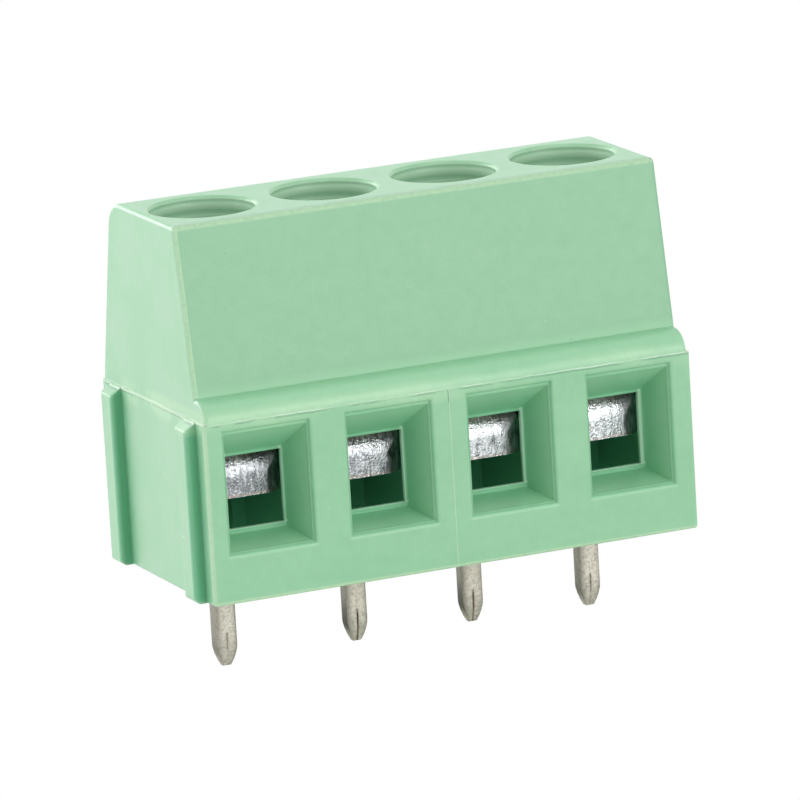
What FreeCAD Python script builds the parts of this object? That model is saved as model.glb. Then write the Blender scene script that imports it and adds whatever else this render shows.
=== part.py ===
import FreeCAD, Part

import math
import os

from FreeCAD import Vector

# Screw terminal for circuit boards: one moulded housing, and for each pole a
# captive screw, a rising clamp cage and a folded solder contact.
# Frame: X along the row of poles, -Y towards the wire entries, Z up.
# The origin is on the board surface, in the middle of the row of solder pins.

# Row
poles = 4
pitch = 5.08
left_end_margin = 2.48          # centre of the outer pole to the end of the upper body
right_end_margin = 2.55

# Housing section, seen from the end
body_height = 14.4
front_reach = 4.9               # pin row to the front face
back_reach = 5.37               # pin row to the back face
lower_height = 7.05             # board to the mould parting line
shoulder_rise = 0.85            # parting line to the crease above the shoulder
shoulder_depth = 0.96           # how far the crease lies behind the front face
top_front_setback = 2.06        # front face to the top front edge
top_back_setback = 1.75         # back face to the top back edge, before rounding
top_back_radius = 1.2
top_front_radius = 0.2
left_end_step = 0.07            # the lower half is this much longer on the left
right_end_step = 0.13
half_overlap = 1.0              # how far the upper form runs down into the lower
end_edge_radius = 0.15
foot_edge_chamfer = 0.06

# Dovetail rails on the left end and grooves on the right end
rail_centres = (-3.54, 3.92)
rail_width = 1.19               # across the outer face
rail_undercut = 0.08            # how much narrower the root is, on each side
rail_height = 0.45
rail_edge_radius = 0.12
rail_top_slope = 0.3
rail_foot_radius = 0.25
groove_clearance = 0.08

# Wire entry funnel and throat
funnel_width = 3.52
funnel_low = 1.93               # lower edge of the mouth above the board
funnel_high = 6.69
funnel_depth = 1.6
funnel_floor_low = 2.32         # lower edge of the funnel floor above the board
funnel_floor_high = 5.48
funnel_floor_width = 2.53
mouth_edge_radius = 0.15
mouth_edge_steps = 3            # flats that make up the rounding of the mouth edge
throat_width = 2.3
throat_low = 2.51
throat_high = 5.37
throat_wall = 0.2               # thickness of the ledge round the throat
# Sideways shift of each throat, as the mould cores stand
throat_shifts = (0.03, 0.01, -0.01, -0.06)

# Clamp cage, in its raised position
cage_sheet = 0.4
cage_width = 3.4
cage_front_clearance = 0.62     # front wall of the well to the cage lip
cage_back_reach = 2.1
cage_corner_radius = 0.9        # seen from above
cage_lip_radius = 1.3           # bend from the jaw down into the lip
cage_shoulder_radius = 1.2      # the same bend at the two sides of the lip
cage_fold_radius = 0.35
lip_height = 2.05
jaw_back_clearance = 0.2        # back of the jaw to the leg of the contact
jaw_gap = 0.05                  # raised jaw to the contact bar
wall_front = 0.95               # front of the cage wall behind the front of the lip
roof_lap = 0.5                  # left edge of the upper roof flap inside the left wall

# Contact
contact_sheet = 0.43            # the contact is this sheet folded in two
bar_width = 1.9
bar_front_clearance = 0.15      # front wall of the well to the contact bar
bar_underside = 5.6             # height above the board
leg_front = 1.62                # pin row to the front edge of the leg
leg_back = 2.95
foot_low = 0.15
foot_high = 0.95
pin_depth = 0.6                 # along Y; across, the pin is two sheets wide
# Length of each pin below the board surface, as cut
pin_lengths = (3.66, 3.54, 3.55, 3.69)
pin_taper_length = 1.05
pin_tip_width = 0.34
pin_tip_depth = 0.24
pin_edge_radius = 0.07
seam_width = 0.06
seam_depth = 0.06
seam_length = 1.3               # open seam between the two sheets, up from the tip
contact_bend_radius = 0.25
# Sideways rest position of each loosely held contact in its pocket
contact_offsets = (-0.29, 0.15, 0.03, 0.03)

# Screw
screw_setback = 0.15            # screw axis behind the pin row
thread_diameter = 2.45
thread_running_gap = 0.05
screw_head_diameter = 3.6
screw_head_height = 1.5
screw_head_chamfer = 0.2
screw_slot_width = 0.7
screw_slot_depth = 0.85
screw_tip_gap = 0.02            # screw tip to the contact bar
screw_tip_chamfer = 0.35
head_seat_gap = 0.05
head_recess = 0.295             # foot of the driver hole to the top of the screw head

# Spaces in the housing
cage_clearance = 0.15
cage_roof_clearance = 0.15
cage_back_clearance = 0.2
contact_clearance = 0.05        # contact to the back and the roof of its pocket
contact_side_clearance = 0.36
screw_floor_thickness = 0.8     # between the cage well and the screw head
screw_passage_clearance = 0.25
driver_hole_diameter = 4.1
driver_hole_depth = 1.8
driver_hole_chamfer = 0.1
head_chamber_clearance = 0.05   # around the screw head, below the driver hole

# Worked out from the above
row_length = (poles - 1) * pitch
upper_left = -row_length / 2 - left_end_margin
upper_right = row_length / 2 + right_end_margin
lower_left = upper_left - left_end_step
lower_right = upper_right + right_end_step
funnel_floor = -front_reach + funnel_depth
well_front = funnel_floor + throat_wall
well_back = cage_back_reach + cage_back_clearance
well_half_width = cage_width / 2 + cage_clearance
cage_front = well_front + cage_front_clearance
cage_jaw_top = bar_underside - jaw_gap
cage_skirt_low = cage_jaw_top - lip_height
jaw_back = leg_front - jaw_back_clearance
bar_front = well_front + bar_front_clearance
bar_top = bar_underside + contact_sheet
screw_tip = bar_top + screw_tip_gap
bore_foot = body_height - driver_hole_depth
head_top = bore_foot - head_recess
head_underside = head_top - screw_head_height
head_seat = head_underside - head_seat_gap
well_roof = head_seat - screw_floor_thickness
cage_top = well_roof - cage_roof_clearance
cage_top_underside = cage_top - 2 * cage_sheet
pocket_half_width = bar_width / 2 + contact_side_clearance
pocket_back = leg_back + contact_clearance
pocket_roof = bar_top + contact_clearance
pole_centres = [(n - (poles - 1) / 2) * pitch for n in range(poles)]


def box(x_low, x_high, y_low, y_high, z_low, z_high):
    size = (x_high - x_low, y_high - y_low, z_high - z_low)
    return Part.makeBox(*size, Vector(x_low, y_low, z_low))


def side_profile(edges, x_low, x_high):
    """A closed outline of edges in the plane x = x_low, extruded along X."""
    face = Part.Face(Part.Wire(Part.__sortEdges__(edges)))
    return face.extrude(Vector(x_high - x_low, 0, 0))


def chain(points):
    """Straight edges from point to point, without the closing one."""
    return [Part.makeLine(a, b) for a, b in zip(points, points[1:])]


def edges_where(shape, test):
    """The edges whose both ends, and middle, pass the test."""
    found = []
    for edge in shape.Edges:
        spots = [v.Point for v in edge.Vertexes]
        spots.append(edge.valueAt((edge.FirstParameter + edge.LastParameter) / 2))
        if all(test(p) for p in spots):
            found.append(edge)
    return found


def near(a, b):
    return abs(a - b) < 1e-4


# Housing

def upper_body():
    """Roof-shaped upper half with the rounded shoulder along its front."""
    x = upper_left
    shoulder_foot = Vector(x, -front_reach, lower_height)
    crease = shoulder_foot + Vector(0, shoulder_depth, shoulder_rise)
    radius = (shoulder_depth ** 2 + shoulder_rise ** 2) / (2 * shoulder_depth)
    turn = math.atan2(shoulder_rise, radius - shoulder_depth) / 2
    shoulder_middle = shoulder_foot + Vector(0, radius * (1 - math.cos(turn)),
                                             radius * math.sin(turn))
    top_front = Vector(x, -front_reach + top_front_setback, body_height)
    top_back = Vector(x, back_reach - top_back_setback, body_height)
    back_low = Vector(x, back_reach, lower_height)
    root = Vector(0, 0, -half_overlap)
    edges = [Part.Arc(shoulder_foot, shoulder_middle, crease).toShape()]
    edges += chain([crease, top_front, top_back, back_low, back_low + root,
                    shoulder_foot + root, shoulder_foot])
    body = side_profile(edges, x, upper_right)
    for corner, radius in ((top_back, top_back_radius), (top_front, top_front_radius)):
        top_edge = edges_where(body, lambda p: near(p.z, body_height)
                               and near(p.y, corner.y))
        body = body.makeFillet(radius, top_edge)
    outline = edges_where(body, lambda p: near(p.x, upper_left))
    outline += edges_where(body, lambda p: near(p.x, upper_right))
    outline = [e for e in outline if e.BoundBox.ZMax > lower_height - half_overlap / 2]
    return body.makeFillet(end_edge_radius, outline)


def lower_body():
    """Plain lower half that stands on the board."""
    body = box(lower_left, lower_right, -front_reach, back_reach, 0, lower_height)
    upright = [e for e in body.Edges if near(e.BoundBox.ZLength, lower_height)]
    body = body.makeFillet(end_edge_radius, upright)
    foot = edges_where(body, lambda p: near(p.z, 0))
    return body.makeChamfer(foot_edge_chamfer, foot)


def dovetail(centre, extra, height):
    """Plan outline of a dovetail, from the end face outwards, extruded up."""
    outer = rail_width / 2 + extra
    root = outer - rail_undercut
    face_x = lower_left
    tip_x = face_x - rail_height - extra
    inside = face_x + end_edge_radius
    corners = [Vector(inside, centre - root, 0), Vector(face_x, centre - root, 0),
               Vector(tip_x, centre - outer, 0), Vector(tip_x, centre + outer, 0),
               Vector(face_x, centre + root, 0), Vector(inside, centre + root, 0)]
    outline = Part.Face(Part.makePolygon(corners + corners[:1]))
    return outline.extrude(Vector(0, 0, height)), tip_x


def end_rail(centre):
    """Dovetail rail with rounded outer edges, a sloped top and a rounded foot."""
    rail, tip_x = dovetail(centre, 0, lower_height)
    upright = edges_where(rail, lambda p: near(p.x, tip_x))
    upright = [e for e in upright if e.BoundBox.ZLength > rail_width]
    rail = rail.makeFillet(rail_edge_radius, upright)
    y = centre - rail_width
    inside = lower_left + end_edge_radius
    foot_x = tip_x + rail_foot_radius
    arc_turn = rail_foot_radius * (1 - math.sqrt(0.5))
    foot_start = Vector(foot_x, y, 0)
    foot_middle = Vector(tip_x + arc_turn, y, arc_turn)
    foot_end = Vector(tip_x, y, rail_foot_radius)
    slope_low = Vector(tip_x, y, lower_height - rail_top_slope)
    slope_high = Vector(lower_left, y, lower_height)
    top_inside = Vector(inside, y, lower_height)
    low_inside = Vector(inside, y, 0)
    edges = [Part.Arc(foot_start, foot_middle, foot_end).toShape()]
    edges += chain([foot_end, slope_low, slope_high, top_inside, low_inside, foot_start])
    outline = Part.Face(Part.Wire(Part.__sortEdges__(edges)))
    return rail.common(outline.extrude(Vector(0, 2 * rail_width, 0)))


def end_groove(centre):
    """Groove on the right end that takes the rail of a neighbouring block."""
    groove, _ = dovetail(centre, groove_clearance, lower_height)
    groove.translate(Vector(lower_right - lower_left, 0, 0))
    return groove


def rectangle_at(y, half_width, low, high):
    """Upright rectangular wire across the pole, at depth y."""
    corners = [Vector(-half_width, y, low), Vector(half_width, y, low),
               Vector(half_width, y, high), Vector(-half_width, y, high)]
    return Part.makePolygon(corners + corners[:1])


def wire_funnel():
    """Tapered funnel in the front face, down to a flat floor."""
    mouth = rectangle_at(-front_reach, funnel_width / 2, funnel_low, funnel_high)
    floor = rectangle_at(funnel_floor, funnel_floor_width / 2, funnel_floor_low,
                         funnel_floor_high)
    return Part.makeLoft([mouth, floor], True, True)


def mouth_rounding():
    """What the rounded edge round the mouth takes away, in narrow flats."""
    outlines = []
    for step in range(mouth_edge_steps + 1):
        turn = math.pi / 2 * step / mouth_edge_steps
        wider = mouth_edge_radius * (1 - math.sin(turn))
        deeper = mouth_edge_radius * (1 - math.cos(turn))
        outlines.append(rectangle_at(-front_reach + deeper, funnel_width / 2 + wider,
                                     funnel_low - wider, funnel_high + wider))
    flats = [Part.makeLoft([wide, narrow], True, True)
             for wide, narrow in zip(outlines, outlines[1:])]
    return flats[0].fuse(flats[1:])


def throat(shift):
    """Square opening in the thin funnel floor, into the cage well."""
    half = throat_width / 2
    return box(shift - half, shift + half, funnel_floor - throat_wall,
               well_front + throat_wall, throat_low, throat_high)


def cage_well():
    """Space in which the cage rises and falls, open to the board."""
    well = box(-well_half_width, well_half_width, well_front, well_back, 0, well_roof)
    pocket = box(-pocket_half_width, pocket_half_width, well_back - cage_back_clearance,
                 pocket_back, 0, pocket_roof)
    return well.fuse(pocket)


def screw_bore():
    """Driver hole, head chamber and the passage down to the cage well."""
    bore_radius = driver_hole_diameter / 2
    chamber_radius = screw_head_diameter / 2 + head_chamber_clearance
    passage_radius = thread_diameter / 2 + screw_passage_clearance
    rim_foot = body_height - driver_hole_chamfer
    bore = Part.makeCylinder(bore_radius, driver_hole_depth,
                             Vector(0, screw_setback, bore_foot))
    chamber = Part.makeCylinder(chamber_radius, bore_foot - head_seat,
                                Vector(0, screw_setback, head_seat))
    passage = Part.makeCylinder(passage_radius, head_seat - well_roof,
                                Vector(0, screw_setback, well_roof))
    rim = Part.makeCone(bore_radius, bore_radius + driver_hole_chamfer,
                        driver_hole_chamfer, Vector(0, screw_setback, rim_foot))
    return bore.fuse([chamber, passage, rim])


def pole_space(shift):
    """Everything that is hollow at one pole."""
    return wire_funnel().fuse([mouth_rounding(), throat(shift), cage_well(),
                               screw_bore()])


def housing():
    """The one moulding that carries all poles."""
    shell = upper_body().fuse(lower_body())
    shell = shell.fuse([end_rail(c) for c in rail_centres])
    shell = shell.cut(Part.makeCompound([end_groove(c) for c in rail_centres]))
    for x, shift in zip(pole_centres, throat_shifts):
        shell = shell.cut(placed(pole_space(shift), x))
    return shell.removeSplitter()


# Clamp cage

def jaw_block(inset):
    """Jaw, lip and skirt as a full block, every face drawn in by the inset.

    The lip curves back into the jaw, its sides curve back into the skirt, and in
    front of the side walls its shoulders are rounded off as well."""
    half = cage_width / 2 - inset
    front = cage_front + inset
    back = jaw_back + 2 * inset
    low = cage_skirt_low - inset
    high = cage_jaw_top - inset
    nose_back = cage_front + wall_front
    plan = box(-half, half, front, back, low, high)
    upright = edges_where(plan, lambda p: near(p.y, front) and near(abs(p.x), half))
    plan = plan.makeFillet(cage_corner_radius - inset, upright)
    side = box(-half, half, front, back, low, high)
    front_edge = edges_where(side, lambda p: near(p.y, front) and near(p.z, high))
    side = side.makeFillet(cage_lip_radius - inset, front_edge)
    nose = box(-half, half, front, nose_back, low, high)
    shoulders = edges_where(nose, lambda p: near(abs(p.x), half) and near(p.z, high))
    nose = nose.makeFillet(cage_shoulder_radius - inset, shoulders)
    rear = box(-half, half, nose_back, back, low, high)
    return plan.common(side).common(nose.fuse(rear))


def cage_wall(x_low, top):
    """Side wall of the cage, from the skirt up into the roof."""
    return box(x_low, x_low + cage_sheet, cage_front + wall_front, cage_back_reach,
               cage_skirt_low, top)


def cage_roof_flap(x_low, x_high, low):
    """One of the two strip ends that overlap as the roof of the cage."""
    return box(x_low, x_high, cage_front + wall_front, cage_back_reach,
               low, low + cage_sheet)


def cage():
    """Folded cage: lip and jaw below, side walls, and a lapped, threaded roof."""
    half = cage_width / 2
    lap_height = cage_top_underside + cage_sheet
    shell = jaw_block(0).cut(jaw_block(cage_sheet))
    shell = shell.fuse([cage_wall(-half, lap_height),
                        cage_wall(half - cage_sheet, cage_top),
                        cage_roof_flap(-half, half, cage_top_underside),
                        cage_roof_flap(-half + roof_lap, half, lap_height)])
    shell = shell.removeSplitter()
    left_fold = edges_where(shell, lambda p: near(p.z, lap_height) and near(p.x, -half))
    right_fold = edges_where(shell, lambda p: near(p.z, cage_top) and near(p.x, half))
    shell = shell.makeFillet(cage_fold_radius, left_fold + right_fold)
    hole_radius = thread_diameter / 2 + thread_running_gap
    hole = Part.makeCylinder(hole_radius, 2 * cage_sheet,
                             Vector(0, screw_setback, cage_top_underside))
    return shell.cut(hole).removeSplitter()


# Contact

def folded_web():
    """Leg behind the cage and foot below it, two sheets thick."""
    x = -contact_sheet
    pin_front = -pin_depth / 2
    points = [Vector(x, leg_back, bar_top), Vector(x, leg_back, foot_low),
              Vector(x, pin_front, foot_low), Vector(x, pin_front, foot_high),
              Vector(x, leg_front, foot_high), Vector(x, leg_front, bar_top)]
    web = side_profile(chain(points + points[:1]), x, contact_sheet)
    bends = edges_where(web, lambda p: (near(p.y, leg_back) and near(p.z, foot_low))
                        or (near(p.y, leg_front) and near(p.z, foot_high)))
    return web.makeFillet(contact_bend_radius, bends)


def bullet(half, tip_half, length, place, thickness):
    """Straight sides that bend in, each on one arc, to the narrow tip.

    place turns a distance from the middle and a height into a point."""
    taper_z = -length + pin_taper_length
    inset = half - tip_half
    radius = (inset ** 2 + pin_taper_length ** 2) / (2 * inset)
    turn = math.asin(pin_taper_length / radius) / 2
    middle = half - radius * (1 - math.cos(turn))
    middle_z = taper_z - radius * math.sin(turn)
    left = Part.Arc(place(-half, taper_z), place(-middle, middle_z),
                    place(-tip_half, -length))
    right = Part.Arc(place(tip_half, -length), place(middle, middle_z),
                     place(half, taper_z))
    edges = [left.toShape(), right.toShape()]
    edges += chain([place(-tip_half, -length), place(tip_half, -length)])
    edges += chain([place(half, taper_z), place(half, foot_high),
                    place(-half, foot_high), place(-half, taper_z)])
    return Part.Face(Part.Wire(Part.__sortEdges__(edges))).extrude(thickness)


def pin(length):
    """Solder pin with rounded edges and a bullet-shaped end."""
    half_depth = pin_depth / 2
    bar = box(-contact_sheet, contact_sheet, -half_depth, half_depth,
              -length, foot_high)
    upright = edges_where(bar, lambda p: near(abs(p.x), contact_sheet)
                          and near(abs(p.y), half_depth))
    bar = bar.makeFillet(pin_edge_radius, upright)
    across = bullet(contact_sheet, pin_tip_width / 2, length,
                    lambda h, z: Vector(h, -pin_depth, z), Vector(0, 2 * pin_depth, 0))
    along = bullet(half_depth, pin_tip_depth / 2, length,
                   lambda h, z: Vector(-2 * contact_sheet, h, z),
                   Vector(4 * contact_sheet, 0, 0))
    return bar.common(across).common(along)


def contact(length):
    """Sheet folded in two along its back: web, pin and the bar of two wings."""
    bar = box(-bar_width / 2, bar_width / 2, bar_front, leg_back,
              bar_underside, bar_top)
    seam = box(-seam_width / 2, seam_width / 2, -pin_depth, -pin_depth / 2 + seam_depth,
               -length, -length + seam_length)
    return folded_web().fuse([pin(length), bar]).cut(seam).removeSplitter()


# Screw

def screw():
    """Slotted screw with a plain cylinder over the thread crests."""
    shank = Part.makeCylinder(thread_diameter / 2, head_underside - screw_tip,
                              Vector(0, screw_setback, screw_tip))
    tip = edges_where(shank, lambda p: near(p.z, screw_tip))
    shank = shank.makeChamfer(screw_tip_chamfer, tip)
    head = Part.makeCylinder(screw_head_diameter / 2, screw_head_height,
                             Vector(0, screw_setback, head_underside))
    rim = edges_where(head, lambda p: near(p.z, head_top))
    head = head.makeChamfer(screw_head_chamfer, rim)
    slot = box(-screw_head_diameter, screw_head_diameter,
               screw_setback - screw_slot_width / 2, screw_setback + screw_slot_width / 2,
               head_top - screw_slot_depth, head_top + screw_slot_depth)
    return shank.fuse(head).cut(slot).removeSplitter()


def placed(shape, x):
    copy = shape.copy()
    copy.translate(Vector(x, 0, 0))
    return copy


def save(shape, name):
    solids = shape.Solids
    result = solids[0] if len(solids) == 1 else shape
    print(name, "solids", len(solids), "valid", result.isValid(),
          "volume", round(result.Volume, 3))
    result.exportStep(os.path.join("parts", name + ".step"))


def main():
    os.makedirs("parts", exist_ok=True)
    save(housing(), "housing")
    cage_shape = cage()
    screw_shape = screw()
    for number, x in enumerate(pole_centres, start=1):
        contact_shape = contact(pin_lengths[number - 1])
        offset = contact_offsets[number - 1]
        save(placed(contact_shape, x + offset), "contact_%d" % number)
        save(placed(cage_shape, x), "clamp_cage_%d" % number)
        save(placed(screw_shape, x), "clamp_screw_%d" % number)


main()
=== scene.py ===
import math

import bmesh
import bpy
from mathutils import Matrix, Vector


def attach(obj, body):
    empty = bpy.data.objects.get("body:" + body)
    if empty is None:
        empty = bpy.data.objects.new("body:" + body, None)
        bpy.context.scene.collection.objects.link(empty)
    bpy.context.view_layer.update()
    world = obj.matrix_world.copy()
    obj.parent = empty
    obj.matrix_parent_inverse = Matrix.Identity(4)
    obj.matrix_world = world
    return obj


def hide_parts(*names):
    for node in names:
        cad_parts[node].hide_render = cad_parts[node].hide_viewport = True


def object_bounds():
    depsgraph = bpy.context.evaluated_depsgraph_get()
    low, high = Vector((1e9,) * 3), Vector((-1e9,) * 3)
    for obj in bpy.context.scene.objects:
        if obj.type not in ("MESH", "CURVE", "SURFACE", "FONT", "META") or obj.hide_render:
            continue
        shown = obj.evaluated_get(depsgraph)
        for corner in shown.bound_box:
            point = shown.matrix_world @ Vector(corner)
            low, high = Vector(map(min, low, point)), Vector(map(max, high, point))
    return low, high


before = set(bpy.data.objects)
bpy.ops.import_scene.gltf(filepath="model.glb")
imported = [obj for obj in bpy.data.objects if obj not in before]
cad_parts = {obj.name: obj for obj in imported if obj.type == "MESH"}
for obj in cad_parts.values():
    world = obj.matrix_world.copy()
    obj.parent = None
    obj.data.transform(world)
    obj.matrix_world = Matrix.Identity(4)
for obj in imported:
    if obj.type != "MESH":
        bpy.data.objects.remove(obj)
cad_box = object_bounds()

MM = 0.001
POLES = 4
PITCH = 5.08
ROW_SPAN = POLES * PITCH
CONTACT_CENTRES = (-7.91, -2.39, 2.57, 7.65)
SEAM_STAINS_AND_SHADE = (0.0, 0.8, 0.7, 0.2)      # how brown the seam of each contact is, and how deep the painted shadow low on its left side

# Housing, in mm
TOP = 14.4
SPLIT = 7.05                            # height of the mould parting line
FRONT = -4.9
LEFT_END = -10.1                        # of the upper half
RIGHT_END = 10.17
LOWER_LEFT_END = -10.17
RAIL_CENTRES = (-3.54, 3.92)
MOUTH_MIDDLE = 4.31
MOUTH_HALF_WIDTH = 1.76
THROAT_LEDGE = -3.3
THROAT_LOW = 2.51
THROAT_HALF_WIDTH = 1.15
WELL_BACK = 3.6
HOLE_RADIUS = 2.05
HOLE_FOOT = 12.6

# Clamp screw, in mm
SCREW_Y = 0.15
CREST = 1.225
THREAD_DEPTH = 0.24
THREAD_PITCH = 0.45
TIP, UNDER_HEAD, HEAD_TOP = 6.05, 10.805, 12.305
TIP_CHAMFER = 0.35
HEAD_RADIUS = 1.8
HEAD_CHAMFER = 0.2
HEAD_SIDES = 72
SLOT_WIDTH = 0.7
SLOT_DEPTH = 0.85
THREAD_ROWS = 6                         # along one pitch
THREAD_COLUMNS = 40                     # round one turn
MERGE = 0.0005 * MM
SHARP_ANGLE = math.radians(28)

# Camera: a long lens to the front left and a little above, solved from the photo
LENS = 364.512
SENSOR = 36.0
YAW = math.radians(23.3341)
PITCH_DOWN = math.radians(12.8838)
ROLL = math.radians(-3.3865)
TARGET = Vector((0.0753, 0.0, 5.6924)) * MM
DISTANCE = 314.693 * MM

# Studio, in metres and watts
FLOOR_SIZE = 1.5
LIGHT_AIM = (0.0, 0.0, 0.005)
LIGHTS = (("front softbox", (0.18, -0.40, 0.05), (0.28, 0.28), 0.78),
          ("back panel", (-0.20, 0.34, 0.08), (0.36, 0.20), 0.95),
          ("left panel", (-0.42, 0.10, 0.08), (0.25, 0.25), 0.45),
          ("top panel", (0.02, -0.10, 0.40), (0.20, 0.20), 0.30))
WORLD_DIFFUSE, WORLD_GLOSSY, WORLD_SEEN = 0.60, 1.35, 1.0


class Value:
    """A socket in a shader tree; arithmetic on it adds math nodes."""

    def __init__(self, shader, socket):
        self.shader = shader
        self.socket = socket

    def math(self, operation, *others):
        inputs = dict(enumerate((self, *others)))
        return self.shader.node("ShaderNodeMath", inputs, operation=operation)

    def __add__(self, other):
        return self.math("ADD", other)

    def __sub__(self, other):
        return self.math("SUBTRACT", other)

    def __mul__(self, other):
        return self.math("MULTIPLY", other)

    def __truediv__(self, other):
        return self.math("DIVIDE", other)

    def __rsub__(self, other):
        return self.shader.node("ShaderNodeMath", {0: other, 1: self}, operation="SUBTRACT")

    __radd__ = __add__

    def size(self):
        return self.math("ABSOLUTE")

    def most(self, other):
        return self.math("MAXIMUM", other)

    def rise(self, low, high):
        """0 below low, 1 above high, smooth between; falls where low is above high."""
        inputs = {"Value": self, "From Min": low, "From Max": high}
        return self.shader.node("ShaderNodeMapRange", inputs, interpolation_type="SMOOTHSTEP")

    def band(self, centre, half_width, soft):
        """1 within half_width of the centre, falling to 0 over soft."""
        return (self - centre).size().rise(half_width + soft, half_width)


class Shader:
    """One material's tree: a method for any node, and the piece's coordinates in mm."""

    def __init__(self, name, **constants):
        self.material = bpy.data.materials.new(name)
        self.material.use_nodes = True
        self.tree = self.material.node_tree
        self.surface = self.tree.nodes["Principled BSDF"]
        for socket, value in constants.items():
            self.surface.inputs[socket].default_value = value
        metres = self.node("ShaderNodeTexCoord", output="Object")
        self.place = self.vector("SCALE", metres, Scale=1 / MM)
        split = self.node("ShaderNodeSeparateXYZ", {0: self.place}).socket.node
        self.x, self.y, self.z = (Value(self, out) for out in split.outputs)

    def node(self, kind, inputs=None, output=0, **settings):
        made = self.tree.nodes.new(kind)
        for key, value in settings.items():
            setattr(made, key, value)
        for key, value in (inputs or {}).items():
            self.put(made.inputs[key], value)
        return Value(self, made.outputs[output])

    def put(self, socket, value):
        if isinstance(value, Value):
            self.tree.links.new(value.socket, socket)
        else:
            socket.default_value = value

    def vector(self, operation, *values, **named):
        inputs = dict(enumerate(values))
        inputs.update(named)
        return self.node("ShaderNodeVectorMath", inputs, operation=operation)

    def across(self):
        """Distance from the middle plane of the nearest pole."""
        return ((self.x + ROW_SPAN / 2).math("MODULO", PITCH) - PITCH / 2).size()

    def from_screw(self):
        """Distance from the axis of the nearest screw."""
        across, deep = self.across(), self.y - SCREW_Y
        return (across * across + deep * deep).math("SQRT")

    def stretched(self, along_x, along_y, along_z):
        """The coordinates, drawn out along each axis by that factor."""
        return self.vector("DIVIDE", self.place, (along_x, along_y, along_z))

    def noise(self, scale, detail=2.0, roughness=0.5, place=None):
        inputs = {"Vector": place or self.place, "Scale": scale, "Detail": detail,
                  "Roughness": roughness}
        return self.node("ShaderNodeTexNoise", inputs)

    def spots(self, scale, radius, share, place=None):
        """Round spots of about that radius in mm, in that share of the cells."""
        inputs = {"Vector": place or self.place, "Scale": scale}
        near = self.node("ShaderNodeTexVoronoi", inputs, "Distance") / scale
        cell = self.node("ShaderNodeTexVoronoi", inputs, "Color")
        chance = self.node("ShaderNodeSeparateColor", {0: cell})
        return near.rise(radius, radius * 0.5) * chance.rise(share + 0.001, share)

    def mixed(self, factor, first, second):
        made = self.tree.nodes.new("ShaderNodeMix")
        made.data_type = "RGBA"
        for index, value in ((0, factor), (6, first), (7, second)):
            self.put(made.inputs[index], value)
        return Value(self, made.outputs[2])

    def bump(self, height, distance, normal=None):
        """Height times distance in mm as the surface's bump, over that normal."""
        inputs = {"Height": height, "Distance": distance * MM}
        if normal:
            inputs["Normal"] = normal
        self.put(self.surface.inputs["Normal"], self.node("ShaderNodeBump", inputs))

    def rounded(self, radius):
        """Normal that looks as if every edge had that radius in mm."""
        return self.node("ShaderNodeBevel", {"Radius": radius * MM}, samples=6)

    def edges(self, radius):
        """1 along edges, falling to 0 at that many mm from them."""
        facing = self.node("ShaderNodeNewGeometry", output="Normal")
        along = self.vector("DOT_PRODUCT", self.rounded(radius), facing)
        dot = Value(self, along.socket.node.outputs["Value"])
        return (1.0 - dot).rise(0.004, 0.12)

    def colour(self, value):
        self.put(self.surface.inputs["Base Color"], value)

    def roughness(self, value):
        self.put(self.surface.inputs["Roughness"], value)


def rgb(red, green, blue):
    return (red, green, blue, 1.0)


GREEN_LOW = rgb(0.27, 0.56, 0.33)
GREEN_HIGH = rgb(0.33, 0.64, 0.39)
EDGE_HIGHLIGHT_PALE = rgb(0.58, 0.80, 0.52)
PALE_FLASH_AND_HIGHLIGHT = rgb(0.70, 0.88, 0.72)
DEEP_GREEN = rgb(0.06, 0.22, 0.12)
SHADED_SLOPE_GREEN = rgb(0.23, 0.48, 0.28)
SHEEN_GREEN = rgb(0.45, 0.57, 0.47)
SHADED_HOLLOW_GREEN = rgb(0.12, 0.48, 0.25)
SHADED_WELL_GREEN = rgb(0.04, 0.33, 0.15)
SHADED_FLANK_GREEN = rgb(0.08, 0.40, 0.20)

PLATE_DARK = rgb(0.21, 0.22, 0.235)
PLATE_LIGHT = rgb(0.80, 0.82, 0.84)
PLATE_FLECK = rgb(0.95, 0.95, 0.95)
PLATE_BURR = rgb(0.45, 0.34, 0.26)
ZINC_DARK = rgb(0.34, 0.34, 0.33)
ZINC_LIGHT = rgb(0.56, 0.56, 0.54)
ZINC_SHADE = rgb(0.20, 0.20, 0.19)
TIN_DARK = rgb(0.46, 0.41, 0.35)
TIN_LIGHT = rgb(0.78, 0.73, 0.65)
TIN_BEIGE = rgb(0.66, 0.58, 0.48)
TIN_SIDE_SHADE = rgb(0.20, 0.17, 0.14)
TIN_PIT = rgb(0.16, 0.14, 0.11)
LEFT_SHADOW_DARK = rgb(0.07, 0.07, 0.05)
SEAM_BROWN = rgb(0.16, 0.09, 0.04)
BACKDROP_GREY = rgb(0.95, 0.95, 0.95)
WHITE = rgb(1.0, 1.0, 1.0)


# Housing plastic

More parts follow.
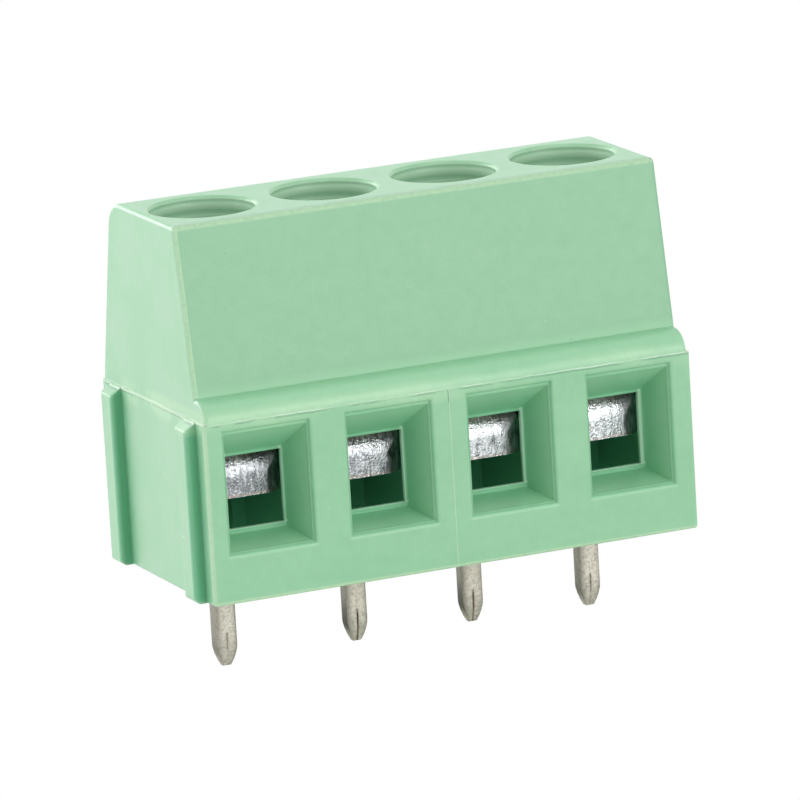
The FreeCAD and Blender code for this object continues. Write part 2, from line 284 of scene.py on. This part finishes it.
class Plastic(Shader):
    """Light green moulded plastic, with masks for the housing's regions."""

    def __init__(self):
        super().__init__("light green plastic", IOR=1.5)
        self.flow = self.noise(0.5, 3.0, 0.55, self.stretched(3.0, 1.0, 1.0))
        self.cloud = self.noise(2.6, 2.0)
        self.front = self.y.rise(FRONT + 0.3, FRONT + 0.1)
        self.outer = 1.0 - (self.y.rise(FRONT + 0.18, FRONT + 0.28)
                            * self.y.rise(WELL_BACK + 0.6, WELL_BACK + 0.2)
                            * self.z.rise(TOP - 0.2, TOP - 0.3)
                            * self.across().rise(2.15, 2.05) * self.z.rise(0.1, 0.2))
        self.left_end = self.x.rise(LEFT_END + 0.07, LEFT_END)

    def painted_slope_and_hollow_shade(self, base):
        """Painted shade: the front slope is a little darker, and the funnels,
        mouth rims and wells a deeper green."""
        across = self.across()
        slope = (self.y.rise(-2.2, -2.6) * self.z.rise(7.8, 8.4)
                 * self.x.rise(LEFT_END + 0.01, LEFT_END + 0.1)
                 * self.x.rise(RIGHT_END - 0.01, RIGHT_END - 0.07))
        # painted shade on the front slope
        base = self.mixed(slope * 0.9, base, SHADED_SLOPE_GREEN)

        hollow = (self.y.rise(FRONT + 0.05, THROAT_LEDGE - 0.1)
                  * self.y.rise(WELL_BACK + 0.4, WELL_BACK)
                  * self.z.rise(8.0, 7.6) * self.z.rise(0.03, 0.25) * across.rise(2.1, 1.9))
        # painted shade deepens the green in the funnels and wells
        base = self.mixed(hollow * 0.48, base, SHADED_HOLLOW_GREEN)
        rim = (self.y.rise(FRONT + 0.01, FRONT + 0.04) * self.y.rise(FRONT + 0.3, FRONT + 0.2)
               * across.rise(MOUTH_HALF_WIDTH + 0.16, MOUTH_HALF_WIDTH + 0.12)
               * self.z.band(MOUTH_MIDDLE, 2.48, 0.04))
        # painted shade round the mouth rims
        base = self.mixed(rim * 0.3, base, SHADED_HOLLOW_GREEN)
        well = self.y.rise(THROAT_LEDGE + 0.05, THROAT_LEDGE + 0.25)
        # deeper painted shade in the wells behind the throat
        return self.mixed(well * hollow * 0.85, base, SHADED_WELL_GREEN)

    def painted_end_sheen_and_rail_shade(self, base):
        """Painted sheen on the left end, and painted shade on the rails' front flanks and the
        wall beside them.
        """
        # painted whiter sheen on the left end face
        sheen = 0.25 + self.flow.rise(0.45, 0.65) * 0.15
        base = self.mixed(self.left_end * sheen, base, SHEEN_GREEN)
        for centre in RAIL_CENTRES:
            # painted shade on the front flank of each rail
            flank = self.y.band(centre - 0.48, 0.11, 0.06) * self.z.rise(6.98, 6.9)
            out = self.x.rise(LOWER_LEFT_END + 0.04, LOWER_LEFT_END - 0.03)
            base = self.mixed(flank * out * 0.75, base, SHADED_FLANK_GREEN)
            # painted shade on the end wall just in front of each rail
            beside = (self.y.rise(centre - 1.5, centre - 0.6)
                      * self.y.rise(centre, centre - 0.3))
            near = (self.x.rise(LEFT_END + 0.05, LEFT_END)
                    * self.x.rise(LEFT_END - 0.2, LEFT_END - 0.1) * self.z.rise(7.0, 6.9))
            base = self.mixed(beside * near * 0.5, base, SHADED_HOLLOW_GREEN)
        return base

    def painted_edge_highlights(self, base):
        """Painted highlights along edges and the throat land, pale, slightly yellow and
        uneven; a paler band by the parting line.
        """
        across = self.across()
        mouth = self.z.band(4.3, 2.6, 0.1) * across.rise(2.05, 1.98)
        crease = self.z.band(7.9, 0.2, 0.1) * self.y.rise(-2.0, -2.2)
        root = self.x.band(-10.12, 0.12, 0.05) * self.z.rise(7.0, 6.95)
        rail_top = self.x.rise(-10.12, -10.2) * self.z.rise(6.7, 6.8)
        # painted highlight along the edges, weaker round the mouths
        edge = self.edges(0.17) * self.outer * (1.0 - crease) * (1.0 - mouth * 0.8)
        edge = edge * (1.0 - root * self.y.rise(-4.5, -4.4)) * (1.0 - rail_top)
        base = self.mixed(edge * (0.55 + (self.cloud - 0.5) * 0.9), base, EDGE_HIGHLIGHT_PALE)

        # painted highlights on the top front edge, the end of the slope, the front left corner
        # and the foot
        top_front = self.y.band(-2.80, 0.06, 0.08) * self.z.rise(TOP - 0.2, TOP - 0.1)
        slope_end = (self.x.band(LEFT_END + 0.1, 0.05, 0.04) * self.y.rise(-2.4, -2.6)
                     * self.z.rise(7.9, 8.0))
        corner = self.x.rise(LEFT_END + 0.08, LEFT_END) * self.front * self.z.rise(7.1, 7.0)
        foot = self.z.rise(0.16, 0.09) * self.front
        beside_split = (self.z.band(SPLIT, 0.25, 0.35) * self.outer
                        * self.flow.rise(0.40, 0.62) * 0.6)
        pale = top_front.most(slope_end).most(corner).most(foot).most(beside_split)
        fine = self.noise(5.0, 3.0, 0.6)
        base = self.mixed(pale * (0.5 + (fine - 0.5) * 0.7), base, EDGE_HIGHLIGHT_PALE)

        # painted highlight on the throat land
        land = (self.z.band(THROAT_LOW + 0.01, 0.03, 0.02)
                .most(across.band(THROAT_HALF_WIDTH, 0.05, 0.03)))
        land = (land * self.y.band(THROAT_LEDGE + 0.05, 0.08, 0.03)
                * self.z.band(4.0, 1.5, 0.05))
        return self.mixed(land * 0.45, base, PALE_FLASH_AND_HIGHLIGHT)

    def hole_rings_and_painted_light(self, base):
        """Driver holes: walls painted lighter, and mould rings given as height and as painted
        highlight and shade bands.
        """
        hole = (self.from_screw().rise(HOLE_RADIUS + 0.05, HOLE_RADIUS + 0.01)
                * self.z.rise(HOLE_FOOT - 0.3, HOLE_FOOT - 0.1))
        # painted light on the hole walls
        base = self.mixed(hole * 0.25, base, PALE_FLASH_AND_HIGHLIGHT)
        # painted highlight and shade bands on the mould rings
        for height, half, soft, factor, colour in (
                (14.22, 0.02, 0.04, 0.20, DEEP_GREEN), (14.02, 0.06, 0.10, 0.35, PALE_FLASH_AND_HIGHLIGHT),
                (13.78, 0.04, 0.08, 0.25, DEEP_GREEN), (13.56, 0.05, 0.08, 0.30, PALE_FLASH_AND_HIGHLIGHT)):
            base = self.mixed(hole * self.z.band(height, half, soft) * factor, base, colour)
        return base, (self.z * 14.0).math("SINE") * hole

    def mould_lines(self, base):
        """Flash along the parting line with a painted shadow under it, and the line
        between the two middle poles: the colour and their height."""
        drawn_out = self.stretched(1.0, 9.0, 9.0)
        wobble = ((self.noise(1.1, 2.0, place=drawn_out) - 0.5) * 0.10
                  + (self.noise(7.0, 2.0, place=drawn_out) - 0.5) * 0.05)
        thick = self.noise(0.9, 3.0, 0.6)
        flash = (self.z + wobble).band(SPLIT, 0.012, 0.03) * self.outer
        strong = (0.3 + thick.rise(0.42, 0.60) * 0.45) * (1.0 - self.left_end * 0.45)
        base = self.mixed(flash * strong, base, PALE_FLASH_AND_HIGHLIGHT)
        # painted shadow just under the flash
        shade = (self.z + wobble).band(SPLIT - 0.07, 0.02, 0.03) * self.outer
        base = self.mixed(shade * thick.rise(0.40, 0.55) * 0.35, base, DEEP_GREEN)

        witness = self.x.band(0.0, 0.012, 0.03) * self.z.rise(SPLIT, SPLIT - 0.02) * self.outer
        base = self.mixed(witness * 0.3, base, PALE_FLASH_AND_HIGHLIGHT)
        slit = (self.x.band(-0.02, 0.012, 0.02) * self.z.band(SPLIT - 0.28, 0.2, 0.1)
                * self.outer)
        base = self.mixed(slit * 0.6, base, DEEP_GREEN)
        return base, flash * thick * 2.0 + witness

    def specks(self, base):
        dark = self.spots(2.1, 0.035, 0.10)
        light = self.spots(1.7, 0.04, 0.10, self.stretched(1.0, 1.1, 0.9))
        base = self.mixed(dark * 0.5, base, DEEP_GREEN)
        return self.mixed(light * 0.45, base, PALE_FLASH_AND_HIGHLIGHT)


def green_plastic():
    s = Plastic()
    tone = (s.flow - 0.5) * 1.1 + (s.cloud - 0.5) * 0.6 + 0.5
    base = s.mixed(tone, GREEN_LOW, GREEN_HIGH)
    base = s.painted_slope_and_hollow_shade(base)
    base = s.painted_end_sheen_and_rail_shade(base)
    base = s.painted_edge_highlights(base)
    base, rings = s.hole_rings_and_painted_light(base)
    base, lines = s.mould_lines(base)
    s.colour(s.specks(base))
    s.roughness(0.34 + (s.cloud - 0.5) * 0.2)
    height = s.noise(9.0, 2.0) * 0.5 + s.flow + lines + rings * 0.9
    s.bump(height, 0.012, s.rounded(0.09))
    return s.material


# Metals

def plated_cage():
    """Bright nickel-plated sheet, finely hammered, greyer to the left; a painted highlight
    makes it lighter high up than low down.
    """
    s = Shader("bright plated sheet", Metallic=1.0)
    streak = s.noise(3.2, 3.0, 0.6, s.stretched(0.6, 1.0, 1.8))
    dent = s.noise(12.0, 2.0, 0.55)
    fleck = s.spots(10.0, 0.025, 0.35)
    # lighter towards the right
    towards_right = s.x.rise(-9.0, 7.0)
    # painted highlight over the upper part of the lip
    painted_highlight = s.z.rise(4.3, 4.9)
    tone = (streak - 0.5) * 2.4 + towards_right * 0.45 + painted_highlight * 0.45 + 0.1
    base = s.mixed(tone, PLATE_DARK, PLATE_LIGHT)
    base = s.mixed(fleck * 0.5, base, PLATE_FLECK)
    burr = s.z.band(3.57, 0.02, 0.03)
    s.colour(s.mixed(burr * 0.5, base, PLATE_BURR))
    s.roughness(0.22 + streak.rise(0.4, 0.7) * 0.10 + s.across().rise(0.6, 1.1) * 0.22)
    s.bump(dent + streak * 0.25, 0.03)
    return s.material


def plated_screw():
    """Zinc-plated steel: turned rings on the head, and painted shade in the slot and on the
    thread.
    """
    s = Shader("plated screw", Metallic=1.0)
    cloud = s.noise(3.0, 2.0)
    rings = (s.from_screw() * 40.0).math("SINE") * s.z.rise(HEAD_TOP - 0.05, HEAD_TOP)
    base = s.mixed(cloud, ZINC_DARK, ZINC_LIGHT)
    slot = ((s.y - SCREW_Y).size().rise(SLOT_WIDTH / 2 + 0.02, SLOT_WIDTH / 2)
            * s.z.rise(HEAD_TOP, HEAD_TOP - 0.1))
    below = s.z.rise(UNDER_HEAD + 0.02, UNDER_HEAD)
    # painted shade in the slot and on the thread under the head
    s.colour(s.mixed(slot.most(below) * 0.6, base, ZINC_SHADE))
    s.roughness(0.30 + cloud * 0.14)
    s.bump(rings * 0.5 + s.noise(6.0, 2.0), 0.01)
    return s.material


def tinned_contact(number, centre, stain_and_shade):
    """Dull tin with fine beige and grey speckle and a brown seam up from the tip; painted
    shade towards both sides and a painted shadow on the left side face.
    """
    s = Shader("dull tin %d" % number, Metallic=0.7)
    place = s.vector("ADD", s.place, (3.7 * number, 1.3 * number, 0.0))
    grain = s.noise(8.0, 3.0, 0.7, place)
    cloud = s.noise(1.5, 2.0, place=place)
    base = s.mixed(grain.rise(0.25, 0.65), TIN_DARK, TIN_LIGHT)
    base = s.mixed(cloud.rise(0.45, 0.75) * 0.4, base, TIN_BEIGE)
    # painted shade towards both sides, for a rounded look
    side = (s.x - centre - 0.04).size().rise(0.12, 0.44)
    base = s.mixed(side * 0.55, base, TIN_SIDE_SHADE)
    pits = s.spots(7.0, 0.03, 0.16, place)
    base = s.mixed(pits * 0.7, base, TIN_PIT)
    # painted shadow on the left side face, deeper low down
    left = s.x.rise(centre - 0.30, centre - 0.40) * s.y.rise(-0.27, -0.23)
    left_shadow = 0.35 + s.z.rise(-1.4, -2.6) * (0.1 + 0.6 * stain_and_shade)
    base = s.mixed(left * left_shadow, base, LEFT_SHADOW_DARK)
    seam = s.x.band(centre, 0.03, 0.02) * s.z.rise(-2.3, -2.5)
    s.colour(s.mixed(seam * stain_and_shade, base, SEAM_BROWN))
    s.roughness(0.42 + grain * 0.2)
    s.bump(grain, 0.02, s.rounded(0.12))
    return s.material


def assign_materials():
    makers = {"housing": green_plastic(), "clamp_cage": plated_cage(),
              "clamp_screw": plated_screw()}
    for number, (centre, stain_and_shade) in enumerate(zip(CONTACT_CENTRES, SEAM_STAINS_AND_SHADE), start=1):
        makers["contact_%d" % number] = tinned_contact(number, centre, stain_and_shade)
    for name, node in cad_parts.items():
        family = name.rstrip("0123456789").rstrip("_")
        node.data.materials.clear()
        node.data.materials.append(makers.get(name) or makers[family])
    return makers


# Screws with their thread

def turned(x, radius, turn, height):
    """Point at that turn (1 is a full circle) about the screw axis at x."""
    angle = 2 * math.pi * turn
    return Vector((x + radius * math.cos(angle), SCREW_Y + radius * math.sin(angle),
                   height)) * MM


def as_object(form, name):
    mesh = bpy.data.meshes.new(name)
    form.to_mesh(mesh)
    form.free()
    made = bpy.data.objects.new(name, mesh)
    bpy.context.scene.collection.objects.link(made)
    return made


def head_disc(x):
    profile = ((HEAD_RADIUS, UNDER_HEAD), (HEAD_RADIUS, HEAD_TOP - HEAD_CHAMFER),
               (HEAD_RADIUS - HEAD_CHAMFER, HEAD_TOP))
    disc = bmesh.new()
    rings = [[disc.verts.new(turned(x, radius, n / HEAD_SIDES, height))
              for n in range(HEAD_SIDES)] for radius, height in profile]
    for low, high in zip(rings, rings[1:]):
        for n in range(HEAD_SIDES):
            after = (n + 1) % HEAD_SIDES
            disc.faces.new((low[n], low[after], high[after], high[n]))
    disc.faces.new(rings[0][::-1])
    disc.faces.new(rings[-1])
    return as_object(disc, "head")


def slot_block(x):
    block = bmesh.new()
    spread = Matrix.Diagonal((4 * HEAD_RADIUS * MM, SLOT_WIDTH * MM, 2 * SLOT_DEPTH * MM, 1))
    centre = Matrix.Translation(Vector((x, SCREW_Y, HEAD_TOP)) * MM)
    bmesh.ops.create_cube(block, size=1.0, matrix=centre @ spread)
    return as_object(block, "cutter")


def slotted_head(x):
    """Mesh of the head: a chamfered disc with a straight slot."""
    head, cutter = head_disc(x), slot_block(x)
    cut = head.modifiers.new("slot", "BOOLEAN")
    cut.operation = "DIFFERENCE"
    cut.solver = "EXACT"
    cut.object = cutter
    graph = bpy.context.evaluated_depsgraph_get()
    result = bpy.data.meshes.new_from_object(head.evaluated_get(graph))
    for helper in (head, cutter):
        bpy.data.objects.remove(helper)
    return result


def add_thread(form, x):
    """Right-hand thread from the tip up into the head, as rows along the helix."""
    rows, columns = THREAD_ROWS, THREAD_COLUMNS
    root = CREST - THREAD_DEPTH
    inside_head = UNDER_HEAD + 0.1
    turns = (inside_head - TIP) / THREAD_PITCH
    count = math.ceil(turns + 2) * rows

    def vertex(row, column):
        height = TIP + ((row / rows - 1) + column / columns) * THREAD_PITCH
        depth = THREAD_DEPTH * (1 - abs(row % rows / rows * 2 - 1))
        radius = CREST - depth if height < UNDER_HEAD - 0.1 else root
        height = min(max(height, TIP), inside_head)
        radius = min(radius, CREST - TIP_CHAMFER + height - TIP)
        return form.verts.new(turned(x, radius, column / columns, height))

    grid = [[vertex(row, column) for column in range(columns)] for row in range(count)]
    for row in range(count - rows - 1):
        for column in range(columns):
            if column + 1 < columns:
                low, high = grid[row][column + 1], grid[row + 1][column + 1]
            else:
                low, high = grid[row + rows][0], grid[row + rows + 1][0]
            form.faces.new((grid[row][column], low, high, grid[row + 1][column]))


def close_ends(form):
    bmesh.ops.remove_doubles(form, verts=form.verts, dist=MERGE)
    bmesh.ops.dissolve_degenerate(form, edges=form.edges, dist=MERGE)
    loose = [v for v in form.verts if not v.link_faces]
    bmesh.ops.delete(form, geom=loose, context="VERTS")
    rims = [edge for edge in form.edges if edge.is_boundary]
    bmesh.ops.holes_fill(form, edges=rims, sides=0)
    bmesh.ops.recalc_face_normals(form, faces=form.faces)


def add_threaded_screw(number, x, material):
    form = bmesh.new()
    add_thread(form, x)
    close_ends(form)
    head = slotted_head(x)
    form.from_mesh(head)
    bpy.data.meshes.remove(head)
    screw = as_object(form, "threaded_screw_%d" % number)
    screw.data.shade_smooth()
    screw.data.set_sharp_from_angle(angle=SHARP_ANGLE)
    screw.data.materials.clear()
    screw.data.materials.append(material)
    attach(screw, "screw_%d" % number)
    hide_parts("clamp_screw_%d" % number)


def add_screws(material):
    for number in range(1, POLES + 1):
        add_threaded_screw(number, (number - (POLES + 1) / 2) * PITCH, material)


# Floor, light and camera

def backdrop_material():
    """Pale floor that the camera sees as plain white."""
    material = bpy.data.materials.new("pale backdrop")
    material.use_nodes = True
    tree = material.node_tree
    tree.nodes.clear()
    path = tree.nodes.new("ShaderNodeLightPath")
    pale = tree.nodes.new("ShaderNodeBsdfDiffuse")
    pale.inputs["Color"].default_value = BACKDROP_GREY
    white = tree.nodes.new("ShaderNodeEmission")
    white.inputs["Strength"].default_value = 1.0
    mix = tree.nodes.new("ShaderNodeMixShader")
    out = tree.nodes.new("ShaderNodeOutputMaterial")
    tree.links.new(path.outputs["Is Camera Ray"], mix.inputs[0])
    tree.links.new(pale.outputs[0], mix.inputs[1])
    tree.links.new(white.outputs[0], mix.inputs[2])
    tree.links.new(mix.outputs[0], out.inputs["Surface"])
    return material


def add_floor(low_z):
    bpy.ops.mesh.primitive_plane_add(size=FLOOR_SIZE, location=(0, 0, low_z))
    floor = bpy.context.object
    floor.name = "floor"
    floor.data.materials.append(backdrop_material())


def add_area_light(name, place, size, power):
    """Soft panel of that width and height, facing the middle of the block."""
    data = bpy.data.lights.new(name, "AREA")
    data.shape = "RECTANGLE"
    data.size, data.size_y = size
    data.energy = power
    light = bpy.data.objects.new(name, data)
    bpy.context.scene.collection.objects.link(light)
    light.location = place
    toward = Vector(LIGHT_AIM) - Vector(place)
    light.rotation_euler = toward.to_track_quat("-Z", "Y").to_euler()


def set_world():
    """Even studio light; the camera sees white, reflections a bright backdrop."""
    world = bpy.data.worlds.new("studio")
    bpy.context.scene.world = world
    world.use_nodes = True
    tree = world.node_tree
    tree.nodes.clear()
    path = tree.nodes.new("ShaderNodeLightPath")
    shades = []
    for strength in (WORLD_DIFFUSE, WORLD_GLOSSY, WORLD_SEEN):
        shade = tree.nodes.new("ShaderNodeBackground")
        shade.inputs["Color"].default_value = WHITE
        shade.inputs["Strength"].default_value = strength
        shades.append(shade)
    reflected = tree.nodes.new("ShaderNodeMixShader")
    seen = tree.nodes.new("ShaderNodeMixShader")
    out = tree.nodes.new("ShaderNodeOutputWorld")
    tree.links.new(path.outputs["Is Glossy Ray"], reflected.inputs[0])
    tree.links.new(shades[0].outputs[0], reflected.inputs[1])
    tree.links.new(shades[1].outputs[0], reflected.inputs[2])
    tree.links.new(path.outputs["Is Camera Ray"], seen.inputs[0])
    tree.links.new(reflected.outputs[0], seen.inputs[1])
    tree.links.new(shades[2].outputs[0], seen.inputs[2])
    tree.links.new(seen.outputs[0], out.inputs["Surface"])


def add_camera():
    away = Vector((math.sin(YAW) * math.cos(PITCH_DOWN),
                   math.cos(YAW) * math.cos(PITCH_DOWN),
                   -math.sin(PITCH_DOWN)))
    level = Vector((math.cos(YAW), -math.sin(YAW), 0.0))
    upright = level.cross(away)
    right = math.cos(ROLL) * level + math.sin(ROLL) * upright
    up = math.cos(ROLL) * upright - math.sin(ROLL) * level
    data = bpy.data.cameras.new("camera")
    data.lens = LENS
    data.sensor_width = SENSOR
    data.clip_start = 0.01
    data.clip_end = 10.0
    camera = bpy.data.objects.new("camera", data)
    bpy.context.scene.collection.objects.link(camera)
    turn = Matrix((right, up, -away)).transposed().to_4x4()
    camera.matrix_world = Matrix.Translation(TARGET - away * DISTANCE) @ turn
    bpy.context.scene.camera = camera


makers = assign_materials()
add_screws(makers["clamp_screw"])
add_floor(cad_box[0].z)
for name, place, size, power in LIGHTS:
    add_area_light(name, place, size, power)
set_world()
add_camera()
bpy.context.scene.view_settings.view_transform = "Standard"
